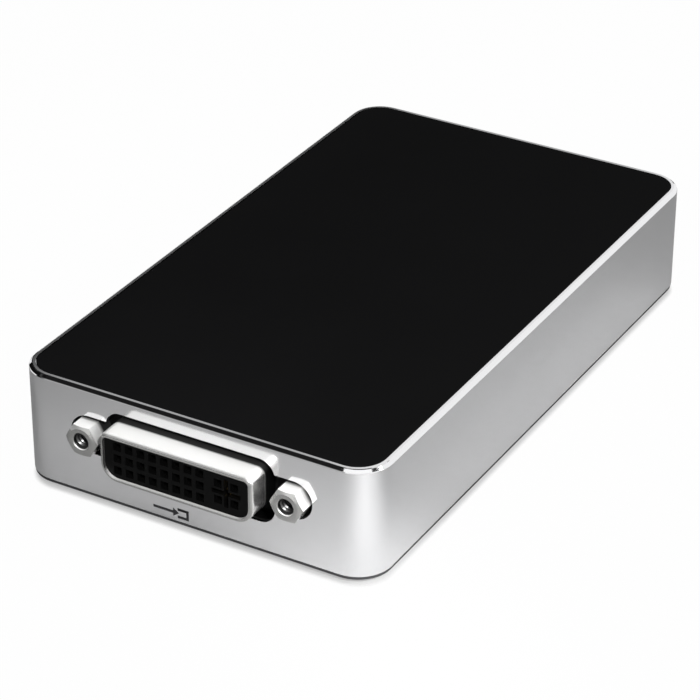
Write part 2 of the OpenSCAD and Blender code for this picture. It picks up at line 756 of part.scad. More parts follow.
module main_board() {
    notch = boss_r + board_gap;
    color("darkgreen") translate([0, 0, z_board]) linear_extrude(board_t) difference() {
        translate([-board_w / 2, board_front]) square([board_w, board_rear - board_front]);
        for (p = boss_places) translate([p.x, p.y])
            mirror([p.x < 0 ? 1 : 0, 0]) mirror([0, p.y < y_mid ? 1 : 0])
                translate([-notch, -notch]) square(2 * notch + over);
        for (p = post_places) translate(p) circle(pass_r);
        for (p = concat(pins, [ground_pin]))
            translate([p.x, dvi_tail_y(p[2])]) circle(pin_w / sqrt(2) + tail_gap);
        for (s = strips) translate([usb_x + s.x, usb_tail_y(s[3])]) circle(tail_hole_r(s[2]));
        for (p = shield_legs)
            translate(p) square([shield_t + 2 * tail_gap, leg_w + 2 * tail_gap], center = true);
        for (p = usb_legs)
            translate(p) square([usb_skin + 2 * tail_gap, leg_w + 2 * tail_gap], center = true);
        for (p = jack_springs)
            translate(p) square([spring_t + 2 * tail_gap, spring_tail + 2 * tail_gap], center = true);
    }
}

// Middle of a row of tails behind the DVI block and behind the data socket's insulator
function dvi_tail_y(row) = y_block_back + tail_first + row * tail_pitch + pin_w / 2;
function usb_tail_y(row) = y_core_back - (row + 1) * usb_tail_pitch;
function tail_w(strip) = min(strip, fast_w);
function tail_hole_r(strip) = norm([tail_w(strip), strip_t]) / 2 + tail_gap / 2;

module board_screws() {
    color("lightgray") for (p = post_places) translate([p.x, p.y, z_board]) difference() {
        rotate_extrude() polygon([[0, -pan_h], [head_r - pan_h / 2, -pan_h], [head_r, -pan_h / 2],
            [head_r, 0], [screw_r, 0], [screw_r, board_t + screw_bite], [0, board_t + screw_bite]]);
        translate([0, 0, -pan_h]) mirror([0, 0, 1]) cross_slot();
    }
}

module dvi_shell() {
    color("gainsboro") facing_front(y_flange) {
        translate([0, 0, -flange_t]) linear_extrude(flange_t) difference() {
            outline(flange_w, flange_h, flange_r, flange_r);
            outline(dvi_w - 2 * dvi_skin, dvi_h - 2 * dvi_skin, dvi_r_top - dvi_skin, dvi_r_low - dvi_skin);
            for (x = [-1, 1]) translate([x * jack_pitch / 2, 0]) circle(stud_r + screw_gap);
        }
        run_round(dvi_w, dvi_h, dvi_r_top, dvi_r_low) collar_profile();
    }
}

// Section through the collar's sheet: rounded at its free edge and at its root
module collar_profile() {
    translate([-dvi_skin, 0]) square([dvi_skin, dvi_l - dvi_skin]);
    intersection() {
        translate([-dvi_skin, dvi_l - dvi_skin]) circle(dvi_skin);
        translate([-dvi_skin, dvi_l - dvi_skin]) square(dvi_skin);
    }
    difference() {
        square(dvi_root_r);
        translate([dvi_root_r, dvi_root_r]) circle(dvi_root_r);
    }
}

module dvi_insulator() {
    color([0.05, 0.05, 0.05]) difference() {
        union() {
            facing_front(y_block + dvi_fit) linear_extrude(core_l + flange_t + dvi_fit)
                outline(core_w, core_h, dvi_r_top - dvi_skin - dvi_fit, dvi_r_low - dvi_skin - dvi_fit);
            translate([-block_w / 2, y_block, z_deck]) cube([block_w, block_l, dvi_axis + block_up]);
            translate([-flange_w / 2, y_block, z_deck]) cube([flange_w, ear_l, dvi_axis + block_up]);
        }
        for (p = pins) {
            beam(p.x, z_dvi + p.y, y_flange - core_l - over, y_flange - core_l + mouth_l, mouth_w, mouth_w);
            beam(p.x, z_dvi + p.y, y_flange - core_l, y_block_back + over, cell_w, cell_w);
        }
        ground_cross(y_flange - core_l - over, y_block_back + over, ground_w, ground_h, ground_slot);
        for (x = [-1, 1])
            along_y(x * jack_pitch / 2, z_dvi, y_block - over, y_block + ear_l + over, bush_r + dvi_fit);
    }
}

// Cross of two flat blades that run along Y
module ground_cross(y0, y1, w, h, t) {
    beam(analog_x, z_dvi, y0, y1, w, t);
    beam(analog_x, z_dvi, y0, y1, t, h);
}

module dvi_contacts() {
    pin_front = y_flange - core_l + pin_sink;
    color("gold") {
        for (p = pins) bent_pin(p, pin_front);
        ground_cross(pin_front, y_block_back - block_l / 2, ground_w - ground_slot + ground_t,
            ground_h - ground_slot + ground_t, ground_t);
        beam(analog_x, z_dvi, y_block_back - block_l / 2 - over, dvi_tail_y(1) + pin_w / 2, pin_w, pin_w);
        tail(analog_x, z_dvi, dvi_tail_y(1));
    }
}

// Contact that runs back through the block and bends down into the board
module bent_pin(p, pin_front) {
    beam(p.x, z_dvi + p.y, pin_front, dvi_tail_y(p[2]) + pin_w / 2, pin_w, pin_w);
    tail(p.x, z_dvi + p.y, dvi_tail_y(p[2]));
}

// Upright end of a contact, from height z down through the board
module tail(x, z, y) {
    translate([x - pin_w / 2, y - pin_w / 2, z_tail]) cube([pin_w, pin_w, z - z_tail]);
}

module dvi_shield() {
    inner_w = block_w + 2 * dvi_fit;
    inner_h = dvi_axis + block_up + dvi_fit;
    color("lightgray") {
        difference() {
            translate([-inner_w / 2 - shield_t, y_shield, z_deck])
                cube([inner_w + 2 * shield_t, y_shield_back - y_shield, inner_h + shield_t]);
            translate([-inner_w / 2, y_shield - over, z_deck - over])
                cube([inner_w, y_shield_back - y_shield + over - shield_t, inner_h + over]);
        }
        for (p = shield_legs)
            translate([p.x - shield_t / 2, p.y - leg_w / 2, z_tail]) cube([shield_t, leg_w, z_deck - z_tail]);
    }
}

module thread_inserts() {
    color("goldenrod") for (x = [-1, 1]) difference() {
        along_y(x * jack_pitch / 2, z_dvi, y_block, y_block + bush_l, bush_r);
        along_y(x * jack_pitch / 2, z_dvi, y_block - over, y_block + bush_l + over, stud_r + thread_gap);
    }
}

module jack_screws() {
    hex_r = hex_af / sqrt(3);
    color("gainsboro") for (x = [-1, 1]) translate([x * jack_pitch / 2, y_flange, z_dvi]) rotate([90, 0, 0]) {
        difference() {
            intersection() {
                cylinder(h = hex_l, r = hex_r, $fn = 6);
                union() {
                    cylinder(h = hex_l - hex_cone, r = hex_r + over);
                    translate([0, 0, hex_l - hex_cone])
                        cylinder(h = hex_cone, r1 = hex_r, r2 = hex_r - 2 * hex_cone);
                }
            }
            translate([0, 0, hex_l - jack_hole_l]) cylinder(h = jack_hole_l + over, r = jack_hole_r);
            translate([0, 0, hex_l - jack_sink])
                cylinder(h = jack_sink, r1 = jack_hole_r, r2 = jack_hole_r + jack_sink);
        }
        translate([0, 0, -flange_t - stud_l]) cylinder(h = flange_t + stud_l, r = stud_r);
    }
}

module usb_shell() {
    color("lightgray") difference() {
        union() {
            translate([usb_x, y_usb, z_deck + usb_h / 2]) rotate([90, 0, 0]) linear_extrude(usb_l)
                outline(usb_w, usb_h, usb_r, usb_r);
            for (p = usb_legs)
                translate([p.x - usb_skin / 2, p.y - leg_w / 2, z_tail])
                    cube([usb_skin, leg_w, z_deck + usb_h / 2 - z_tail]);
        }
        translate([usb_x, y_usb + over, z_deck + usb_h / 2]) rotate([90, 0, 0])
            linear_extrude(usb_l - usb_skin + over)
                outline(usb_in_w, usb_in_h, usb_r - usb_skin, usb_r - usb_skin);
        translate([usb_x - usb_in_w / 2 + usb_skin, y_usb_back + usb_skin, z_deck - over])
            cube([usb_in_w - 2 * usb_skin, y_core_back - y_usb_back - usb_skin, usb_skin + 2 * over]);
    }
}

// Section of the plug's cavity: a house with sloped shoulders and a narrow tower on it
module plug_cavity() {
    eave = cave_h - cave_slope;
    polygon([[-cave_w / 2, 0], [cave_w / 2, 0], [cave_w / 2, eave], [tower_w / 2, cave_h],
        [tower_w / 2, cave_h + tower_h], [-tower_w / 2, cave_h + tower_h], [-tower_w / 2, cave_h],
        [-cave_w / 2, eave]]);
}

module usb_insulator() {
    z_floor_in = z_deck + usb_skin;
    color("royalblue") difference() {
        union() {
            difference() {
                translate([usb_x, y_core, z_deck + usb_h / 2]) rotate([90, 0, 0]) linear_extrude(usb_core_l)
                    outline(usb_in_w - 2 * strip_gap, usb_in_h - 2 * strip_gap, usb_r - usb_skin,
                        usb_r - usb_skin);
                translate([usb_x, y_core + over, z_deck + cave_up + usb_skin]) rotate([90, 0, 0])
                    linear_extrude(usb_cave_l + over) plug_cavity();
            }
            for (t = [[tongue_up, tongue_w, tongue_t], [blade_up, blade_w, blade_t]])
                beam(usb_x, z_floor_in + t[0], y_core - usb_cave_l - over, y_core - tongue_sink, t[1], t[2]);
        }
        for (s = strips)
            beam(usb_x + s.x, z_floor_in + s.y, y_core_back - over, y_core - tongue_sink - strip_w,
                s[2] + 2 * strip_gap, strip_t + 2 * strip_gap);
    }
}

module usb_contacts() {
    z_floor_in = z_deck + usb_skin;
    color("gold") for (s = strips) {
        beam(usb_x + s.x, z_floor_in + s.y, y_core_back + strip_gap,
            y_core - tongue_sink - strip_w - strip_gap, s[2], strip_t);
        beam(usb_x + s.x, z_floor_in + s.y, usb_tail_y(s[3]) - strip_t / 2, y_core_back + over,
            tail_w(s[2]), strip_t);
        translate([usb_x + s.x - tail_w(s[2]) / 2, usb_tail_y(s[3]) - strip_t / 2, z_tail])
            cube([tail_w(s[2]), strip_t, z_floor_in + s.y - z_tail]);
    }
}

module line_in_jack() {
    color([0.08, 0.08, 0.08]) sound_jack(line_x);
}

module headphone_jack() {
    color([0.08, 0.08, 0.08]) sound_jack(phone_x);
}

// Housing with its nozzle, which reaches through the rear wall, and the plug's bore
module sound_jack(x) {
    difference() {
        union() {
            translate([x - jack_w / 2, y_jack_back, z_deck]) cube([jack_w, jack_l, jack_h]);
            along_y(x, z_jack, y_jack - over, y_usb, nozzle_r);
        }
        along_y(x, z_jack, y_usb - plug_l, y_usb + over, plug_r);
    }
}

module jack_contacts() {
    color("goldenrod") for (p = jack_springs) {
        translate([p.x - spring_t / 2, p.y - spring_l / 2, z_jack - spring_h / 2])
            cube([spring_t, spring_l, spring_h]);
        translate([p.x - spring_t / 2, p.y - spring_tail / 2, z_tail])
            cube([spring_t, spring_tail, z_jack - z_tail]);
    }
}

module light_pipe() {
    block = 2 * pipe_r;
    foot_y = y_rear - pipe_l + pipe_r;
    color([0.9, 0.95, 1, 0.6]) {
        along_y(pipe_x, z_pipe, foot_y, y_usb, pipe_r);
        difference() {
            translate([pipe_x - pipe_r, y_rear - pipe_l, z_deck + led.z + led_gap])
                cube([block, block, z_pipe + pipe_r - z_deck - led.z - led_gap]);
            translate([pipe_x, y_rear - pipe_l, z_pipe + pipe_r]) rotate([45, 0, 0])
                translate([-block, -block, -pipe_r * sqrt(1 / 2)]) cube([2 * block, 2 * block, block]);
        }
    }
}

module status_led() {
    color("white") on_board([pipe_x, y_rear - pipe_l + pipe_r], led);
}

module main_chip() {
    cap = [main_size.x - 2 * cap_set, main_size.y - 2 * cap_set, main_size.z];
    color([0.15, 0.15, 0.16]) {
        on_board([0, y_main], [main_size.x, main_size.y, carrier_t]);
        chip([0, y_main], cap);
    }
}

module thermal_pad() {
    color("lightslategray") translate([0, 0, main_size.z]) on_board([0, y_main], [pad_w, pad_w, pad_t]);
}

module video_receiver() {
    color([0.12, 0.12, 0.12]) {
        chip([0, receiver_y], receiver_size);
        for (turn = [0 : 90 : 270]) translate([0, receiver_y, 0]) rotate(turn)
            translate([0, receiver_size.y / 2, 0]) leads(receiver_leads, receiver_pitch, receiver_size.z / 2);
    }
}

module memory_chips() {
    color([0.13, 0.13, 0.13]) for (x = [-memory_x, memory_x]) chip([x, y_main], memory_size);
}

module usb_chip() {
    color([0.14, 0.14, 0.14]) chip([usb_x, usb_chip_y], usb_chip_size);
}

module sound_chip() {
    color([0.14, 0.14, 0.14]) chip([sound_x, sound_y], sound_size);
}

module flash_chip() {
    color([0.13, 0.13, 0.13]) {
        chip([flash_x, poly_y], flash_size);
        for (turn = [90, 270]) translate([flash_x, poly_y, 0]) rotate(turn)
            translate([0, flash_size.x / 2, 0]) leads(flash_leads, flash_pitch, flash_size.z / 2);
    }
}

module crystals() {
    color("silver") for (p = crystal_places) on_board(p, crystal_size);
}

module regulators() {
    color([0.13, 0.13, 0.13]) for (y = [-1, 1]) {
        place = [-side_x, receiver_y + y * side_y];
        chip(place, regulator_size);
        translate([place.x, place.y + regulator_size.y / 2, 0])
            leads(regulator_leads, regulator_pitch, regulator_size.z / 2);
    }
}

module inductors() {
    color([0.3, 0.3, 0.32]) for (y = [-1, 1]) chip([side_x, receiver_y + y * side_y], choke_size);
}

module polymer_capacitors() {
    color("silver") for (i = [0 : poly_count - 1]) {
        place = [i * poly_pitch + poly_d / 2, poly_y];
        on_board(place, [poly_d, poly_d, poly_base]);
        translate([place.x, place.y, z_deck]) cylinder(h = poly_h, d = poly_d - lead_w);
    }
}

module ceramic_capacitors() {
    color("tan") for (x = [-ceramic_x, ceramic_x], i = [0 : small_count - 1])
        on_board([x, y_main + (i - (small_count - 1) / 2) * small_pitch], ceramic_size);
}

module resistors() {
    color([0.1, 0.1, 0.12]) for (i = [0 : small_count - 1])
        on_board([(i - (small_count - 1) / 2) * small_pitch, resistor_y], resistor_size);
}

module surge_arrays() {
    color([0.12, 0.12, 0.12]) for (i = [0 : surge_count - 1])
        chip([(i - (surge_count - 1) / 2) * surge_pitch, surge_y], surge_size);
}

body_shell();
top_panel();
panel_tape();
bottom_cover();
rubber_feet();
cover_screws();
insulating_sheet();
main_board();
board_screws();
dvi_shell();
dvi_insulator();
dvi_contacts();
dvi_shield();
thread_inserts();
jack_screws();
usb_shell();
usb_insulator();
usb_contacts();
line_in_jack();
headphone_jack();
jack_contacts();
light_pipe();
status_led();
main_chip();
thermal_pad();
video_receiver();
memory_chips();
usb_chip();
sound_chip();
flash_chip();
crystals();
regulators();
inductors();
polymer_capacitors();
ceramic_capacitors();
resistors();
surge_arrays();
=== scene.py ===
import math

import bmesh
import bpy
from mathutils import Matrix, Vector


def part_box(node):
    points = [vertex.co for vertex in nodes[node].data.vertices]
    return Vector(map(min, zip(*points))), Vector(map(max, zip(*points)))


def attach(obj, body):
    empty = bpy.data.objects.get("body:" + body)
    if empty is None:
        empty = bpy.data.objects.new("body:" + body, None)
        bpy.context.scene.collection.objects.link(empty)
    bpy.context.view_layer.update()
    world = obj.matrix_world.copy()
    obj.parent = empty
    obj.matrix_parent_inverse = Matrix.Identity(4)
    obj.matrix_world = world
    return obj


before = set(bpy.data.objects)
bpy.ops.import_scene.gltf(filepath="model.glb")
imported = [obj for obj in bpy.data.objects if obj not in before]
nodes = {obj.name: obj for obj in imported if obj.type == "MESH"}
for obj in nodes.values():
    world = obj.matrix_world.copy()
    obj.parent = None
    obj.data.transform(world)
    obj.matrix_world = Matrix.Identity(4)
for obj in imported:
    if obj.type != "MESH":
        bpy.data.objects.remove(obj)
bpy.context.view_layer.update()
mm = 0.001
print("frame loaded with", len(nodes), "nodes")

# places read from the solids
caseLow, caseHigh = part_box("body_shell")
collarLow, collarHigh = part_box("dvi_shell")
hexLow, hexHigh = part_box("jack_screws")
jackLow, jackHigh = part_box("line_in_jack")
phoneLow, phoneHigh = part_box("headphone_jack")


# shader maths

class Wire:
    # a socket that can stand in a sum
    def __init__(self, paint, socket):
        self.paint = paint
        self.socket = socket

    def combine(self, operation, first, second=0.0):
        return self.paint.add("ShaderNodeMath", {"operation": operation}, {0: first, 1: second})

    def __add__(self, other):
        return self.combine("ADD", self, other)

    def __radd__(self, other):
        return self.combine("ADD", other, self)

    def __sub__(self, other):
        return self.combine("SUBTRACT", self, other)

    def __rsub__(self, other):
        return self.combine("SUBTRACT", other, self)

    def __mul__(self, other):
        return self.combine("MULTIPLY", self, other)

    def __rmul__(self, other):
        return self.combine("MULTIPLY", other, self)

    def __pow__(self, other):
        return self.combine("POWER", self, other)

    def __gt__(self, other):
        return self.combine("GREATER_THAN", self, other)

    def __lt__(self, other):
        return self.combine("LESS_THAN", self, other)

    def __abs__(self):
        return self.combine("ABSOLUTE", self)

    def atLeast(self, other):
        return self.combine("MAXIMUM", self, other)


class Paint:
    # one node tree: a material's, or the world's
    def __init__(self, owner):
        owner.use_nodes = True
        self.owner = owner
        self.tree = owner.node_tree
        self.shader = self.tree.nodes.get("Principled BSDF")

    def add(self, kind, settings=None, sockets=None, output=0):
        node = self.tree.nodes.new(kind)
        for label, value in (settings or {}).items():
            setattr(node, label, value)
        for label, value in (sockets or {}).items():
            self.feed(node.inputs[label], value)
        return Wire(self, node.outputs[output])

    def feed(self, socket, value):
        if isinstance(value, Wire):
            self.tree.links.new(value.socket, socket)
        else:
            socket.default_value = value

    def surface(self, **values):
        # sockets of the shader by their names, with spaces left out
        byName = {socket.name.replace(" ", ""): socket for socket in self.shader.inputs}
        for label, value in values.items():
            self.feed(byName[label], value)

    def place(self):
        return self.add("ShaderNodeTexCoord", output="Object")

    def axis(self, name):
        return self.add("ShaderNodeSeparateXYZ", None, {0: self.place()}, name)

    def facing(self, name):
        normal = self.add("ShaderNodeNewGeometry", output="Normal")
        return self.add("ShaderNodeSeparateXYZ", None, {0: normal}, name)

    def stretch(self, scale):
        return self.add("ShaderNodeMapping", None, {"Vector": self.place(), "Scale": scale})

    def noise(self, size, detail=3.0, rough=0.5, vector=None):
        sockets = {"Vector": vector or self.place(), "Scale": 1.0 / size, "Detail": detail,
                   "Roughness": rough}
        return self.add("ShaderNodeTexNoise", None, sockets)

    def cells(self, size, feature):
        sockets = {"Vector": self.place(), "Scale": 1.0 / size}
        return self.add("ShaderNodeTexVoronoi", {"feature": feature}, sockets)

    def spread(self, wire, low, high, toLow=0.0, toHigh=1.0):
        sockets = {"Value": wire, "From Min": low, "From Max": high, "To Min": toLow, "To Max": toHigh}
        return self.add("ShaderNodeMapRange", {"clamp": True}, sockets)

    def sway(self, wire, middle, reach):
        # a roughness that follows a noise, round its middle
        return self.spread(wire, 0.3, 0.7, middle - reach, middle + reach)

    def mixColour(self, mask, first, second):
        sockets = {0: mask, 6: opaque(first), 7: opaque(second)}
        return self.add("ShaderNodeMix", {"data_type": "RGBA"}, sockets, 2)

    def bump(self, height, strength, depth):
        return self.add("ShaderNodeBump", None, {"Height": height, "Strength": strength, "Distance": depth})


def opaque(colour):
    return colour if isinstance(colour, Wire) or len(colour) == 4 else (*colour, 1.0)


def newPaint(name):
    return Paint(bpy.data.materials.new(name))


def coat(paint, *names):
    for name in names:
        slots = nodes[name].data.materials
        slots.clear()
        slots.append(paint.owner)


# camera, at the viewing angle of the photograph
view = {"azimuth": 29.845, "elevation": 30.266, "roll": 0.159, "lens": 150.91,
        "place": (187.06 * mm, -330.21 * mm, 226.71 * mm)}


def makeCamera():
    turn, tilt, roll = (math.radians(view[key]) for key in ("azimuth", "elevation", "roll"))
    back = Vector((math.sin(turn) * math.cos(tilt), -math.cos(turn) * math.cos(tilt), math.sin(tilt)))
    right = Vector((math.cos(turn), math.sin(turn), 0.0))
    up = back.cross(right)
    across = right * math.cos(roll) + up * math.sin(roll)
    upright = up * math.cos(roll) - right * math.sin(roll)
    data = bpy.data.cameras.new("camera")
    data.lens = view["lens"]
    data.clip_start = 0.01
    camera = bpy.data.objects.new("camera", data)
    turned = Matrix((across, upright, back)).transposed().to_4x4()
    camera.matrix_world = Matrix.Translation(view["place"]) @ turned
    bpy.context.scene.collection.objects.link(camera)
    bpy.context.scene.camera = camera


makeCamera()
print("camera placed")


# floor: pale paper, shown white apart from a painted contact shadow under the case; within "farFrom" of the
# case, metal and glass show the paper as it is lit
floorFinish = {"size": 3.0, "colour": (0.30, 0.30, 0.30), "fleck": (0.32, 0.32, 0.32), "grain": 1.5 * mm,
               "rough": 0.9, "gloss": 0.1, "white": 0.985, "contact": 3.5, "contactReach": 1.12 * mm,
               "farFrom": 36 * mm, "farTo": 90 * mm}

# surround as the metal shows it: white, with a dark ceiling, a dark flag at the left and,
# at the back from right to left, white, a grey card and black beside it
surround = {"dark": 0.012, "ceilingFrom": 0.60, "ceilingTo": 0.68, "ceilingLean": 0.12,
            "flagFrom": 0.58, "flagTo": 0.74,
            "card": 0.42, "cardLean": 1.284, "cardFrom": -0.006, "cardTo": 0.002,
            "edgeLean": 0.96, "edgeFrom": 0.0105, "edgeTo": 0.0145, "edgeBack": 0.55,
            "ambientLeft": 0.08, "ambientRight": 0.14, "ambientReach": 0.9}

softLamps = {
    "softbox": {"place": (0.155, -0.235, 0.60), "aim": (0.155, -0.235, 0.0), "size": (0.65, 0.53),
                "power": 1.2},
    "key": {"place": (0.66, 0.0, 0.40), "aim": (0.0, 0.0, 0.0), "size": (0.36, 0.36), "power": 6.8},
    "back": {"place": (0.10, 0.50, 0.90), "aim": (0.0, 0.0, 0.0), "size": (0.40, 0.40), "power": 0.4},
}

# pools of light on the floor, which the walls show: by the near corner, at the left and at the rear
poolPlace = (0.36, -0.43, 0.46)
poolLamps = {
    "sidePool": {"place": poolPlace, "aim": (0.046, -0.056, 0.0), "angle": 3.9, "power": 31.0,
                 "radius": 0.008},
    "frontPool": {"place": poolPlace, "aim": (0.036, -0.064, 0.0), "angle": 4.4, "power": 24.0,
                  "radius": 0.01},
    "leftPool": {"place": poolPlace, "aim": (-0.008, -0.051, 0.0), "angle": 5.4, "power": 15.5,
                 "radius": 0.02},
    "widePool": {"place": poolPlace, "aim": (0.048, -0.062, 0.0), "angle": 20.0, "power": 9.5,
                 "radius": 0.02},
    "farLeftPool": {"place": (-0.10, 0.45, 0.35), "aim": (-0.070, 0.020, 0.0), "angle": 9.0,
                    "power": 11.0, "radius": 0.02},
    "rearPool": {"place": (0.25, 0.45, 0.40), "aim": (-0.015, 0.092, 0.0), "angle": 8.5,
                 "power": 10.0, "radius": 0.02},
}


def seenRays(paint):
    return [paint.add("ShaderNodeLightPath", output=name)
            for name in ("Is Camera Ray", "Is Glossy Ray", "Is Transmission Ray")]


def makeFloor():
    bpy.ops.mesh.primitive_plane_add(size=floorFinish["size"])
    floor = bpy.context.object
    floor.name = "floor"
    paint = newPaint("floorPaper")
    camera, glossy, through = seenRays(paint)
    middle, half = (caseLow + caseHigh) / 2, (caseHigh - caseLow) / 2
    besideX = (abs(paint.axis("X") - middle.x) - half.x).atLeast(0.0)
    besideY = (abs(paint.axis("Y") - middle.y) - half.y).atLeast(0.0)
    distance = (besideX * besideX + besideY * besideY) ** 0.5
    far = paint.spread(distance, floorFinish["farFrom"], floorFinish["farTo"])
    grain = paint.noise(floorFinish["grain"], 4.0)
    shade = paint.mixColour(grain, floorFinish["colour"], floorFinish["fleck"])
    paint.surface(BaseColor=shade, Roughness=floorFinish["rough"], SpecularIORLevel=floorFinish["gloss"])
    white = paint.add("ShaderNodeEmission", None, {"Color": (1, 1, 1, 1), "Strength": 1.0})
    # painted contact shadow: an ambient-occlusion mask lets the grey lit floor show through the white under
    # the case
    reach = {"Distance": floorFinish["contactReach"]}
    openness = paint.add("ShaderNodeAmbientOcclusion", {"samples": 16}, reach, "AO")
    shown = camera + (glossy + through) * far
    share = shown * floorFinish["white"] * openness ** floorFinish["contact"]
    lit = Wire(paint, paint.shader.outputs[0])
    mixed = paint.add("ShaderNodeMixShader", None, {0: share, 1: lit, 2: white})
    paint.feed(paint.tree.nodes["Material Output"].inputs["Surface"], mixed)
    floor.data.materials.append(paint.owner)


def makeWorld():
    world = bpy.data.worlds.new("surround")
    bpy.context.scene.world = world
    paint = Paint(world)
    camera, glossy, through = seenRays(paint)
    direction = paint.add("ShaderNodeTexCoord", output="Generated")
    across, along, height = (paint.add("ShaderNodeSeparateXYZ", None, {0: direction}, name)
                             for name in "XYZ")

    def fade(wire, name, first, last):
        return paint.spread(wire, surround[name + "From"], surround[name + "To"], first, last)

    dark = surround["dark"]
    ceiling = fade(height - along * surround["ceilingLean"], "ceiling", 1.0, dark)  # higher at the back
    flag = fade(-1 * across, "flag", 1.0, dark)
    card = fade(height + across * surround["cardLean"], "card", surround["card"], 1.0)
    edge = fade(height + across * surround["edgeLean"], "edge", 1.0, 0.0) * (along > surround["edgeBack"])
    gloss = ceiling * flag * card * (1 - edge * (1 - dark))
    side = surround["ambientReach"]
    ambient = paint.spread(across, -side, side, surround["ambientLeft"], surround["ambientRight"])
    shown = glossy + through
    strength = camera + (1 - camera) * (shown * gloss + (1 - shown) * ambient)
    background = paint.tree.nodes["Background"]
    background.inputs["Color"].default_value = (1, 1, 1, 1)
    paint.feed(background.inputs["Strength"], strength)


def addLight(name, data, lamp):
    light = bpy.data.objects.new(name, data)
    place = Vector(lamp["place"])
    light.location = place
    light.rotation_euler = (Vector(lamp["aim"]) - place).to_track_quat("-Z", "Y").to_euler()
    data.energy = lamp["power"]
    bpy.context.scene.collection.objects.link(light)


def makeLamps():
    for name, lamp in softLamps.items():
        data = bpy.data.lights.new(name, "AREA")
        data.shape = "RECTANGLE"
        data.size, data.size_y = lamp["size"]
        addLight(name, data, lamp)
    for name, lamp in poolLamps.items():
        data = bpy.data.lights.new(name, "SPOT")
        data.spot_size = math.radians(lamp["angle"])
        data.spot_blend = 1.0
        data.shadow_soft_size = lamp["radius"]
        addLight(name, data, lamp)


makeFloor()
makeWorld()
makeLamps()
bpy.context.scene.view_settings.view_transform = "Standard"
print("studio lit")


# case: satin aluminium, with the bevel and rim cut bright and painted shade on the window's inner walls
caseFinish = {"satin": (0.86, 0.86, 0.87), "cloudy": (0.834, 0.834, 0.844), "cloud": 9 * mm,
              "satinRough": 0.11, "cutRough": 0.07, "bevel": 0.55 * mm, "grain": 0.09 * mm,
              "grainDepth": 0.02 * mm, "recess": (0.02, 0.02, 0.02), "recessFrom": 0.15 * mm,
              "recessTo": 0.8 * mm, "recessEnd": 3 * mm, "windowHalf": 20.5 * mm, "windowTop": 17.2 * mm}


def paintCase():
    paint = newPaint("satinAluminium")
    up = paint.axis("Z")
    cut = up > caseHigh.z - caseFinish["bevel"]
    depth = paint.axis("Y") - caseLow.y
    # painted shade: near black on the window's inner walls, from just behind the front face to 3 mm deep
    window = (abs(paint.axis("X")) < caseFinish["windowHalf"]) * (up < caseFinish["windowTop"])
    edge = paint.spread(depth, caseFinish["recessFrom"], caseFinish["recessTo"])
    recess = edge * (depth < caseFinish["recessEnd"]) * window
    grain = paint.noise(caseFinish["grain"], 2.0, 0.6)
    cloud = paint.noise(caseFinish["cloud"], 3.0)
    satin = paint.mixColour(cloud, caseFinish["satin"], caseFinish["cloudy"])
    rough = paint.sway(cloud, caseFinish["satinRough"], 0.02)
    paint.surface(BaseColor=paint.mixColour(recess, satin, caseFinish["recess"]), Metallic=1.0,
                  Roughness=rough * (1 - cut) + cut * caseFinish["cutRough"] + recess * 0.4,
                  Normal=paint.bump(grain * (1 - cut), 0.04, caseFinish["grainDepth"]))
    coat(paint, "body_shell")


# top panel: black, fine matte texture, hardly any gloss
panelFinish = {"black": (0.0044, 0.0044, 0.0046), "worn": (0.0056, 0.0056, 0.0058), "cloud": 14 * mm,
               "rough": 0.5, "grain": 0.12 * mm, "grainDepth": 0.02 * mm, "gloss": 0.006}


def paintPanel():
    paint = newPaint("panelBlack")
    grain = paint.noise(panelFinish["grain"], 2.0)
    cloud = paint.noise(panelFinish["cloud"], 4.0)
    paint.surface(BaseColor=paint.mixColour(cloud, panelFinish["black"], panelFinish["worn"]),
                  Roughness=paint.sway(cloud, panelFinish["rough"], 0.04),
                  SpecularIORLevel=panelFinish["gloss"],
                  Normal=paint.bump(grain, 0.08, panelFinish["grainDepth"]))
    coat(paint, "top_panel")


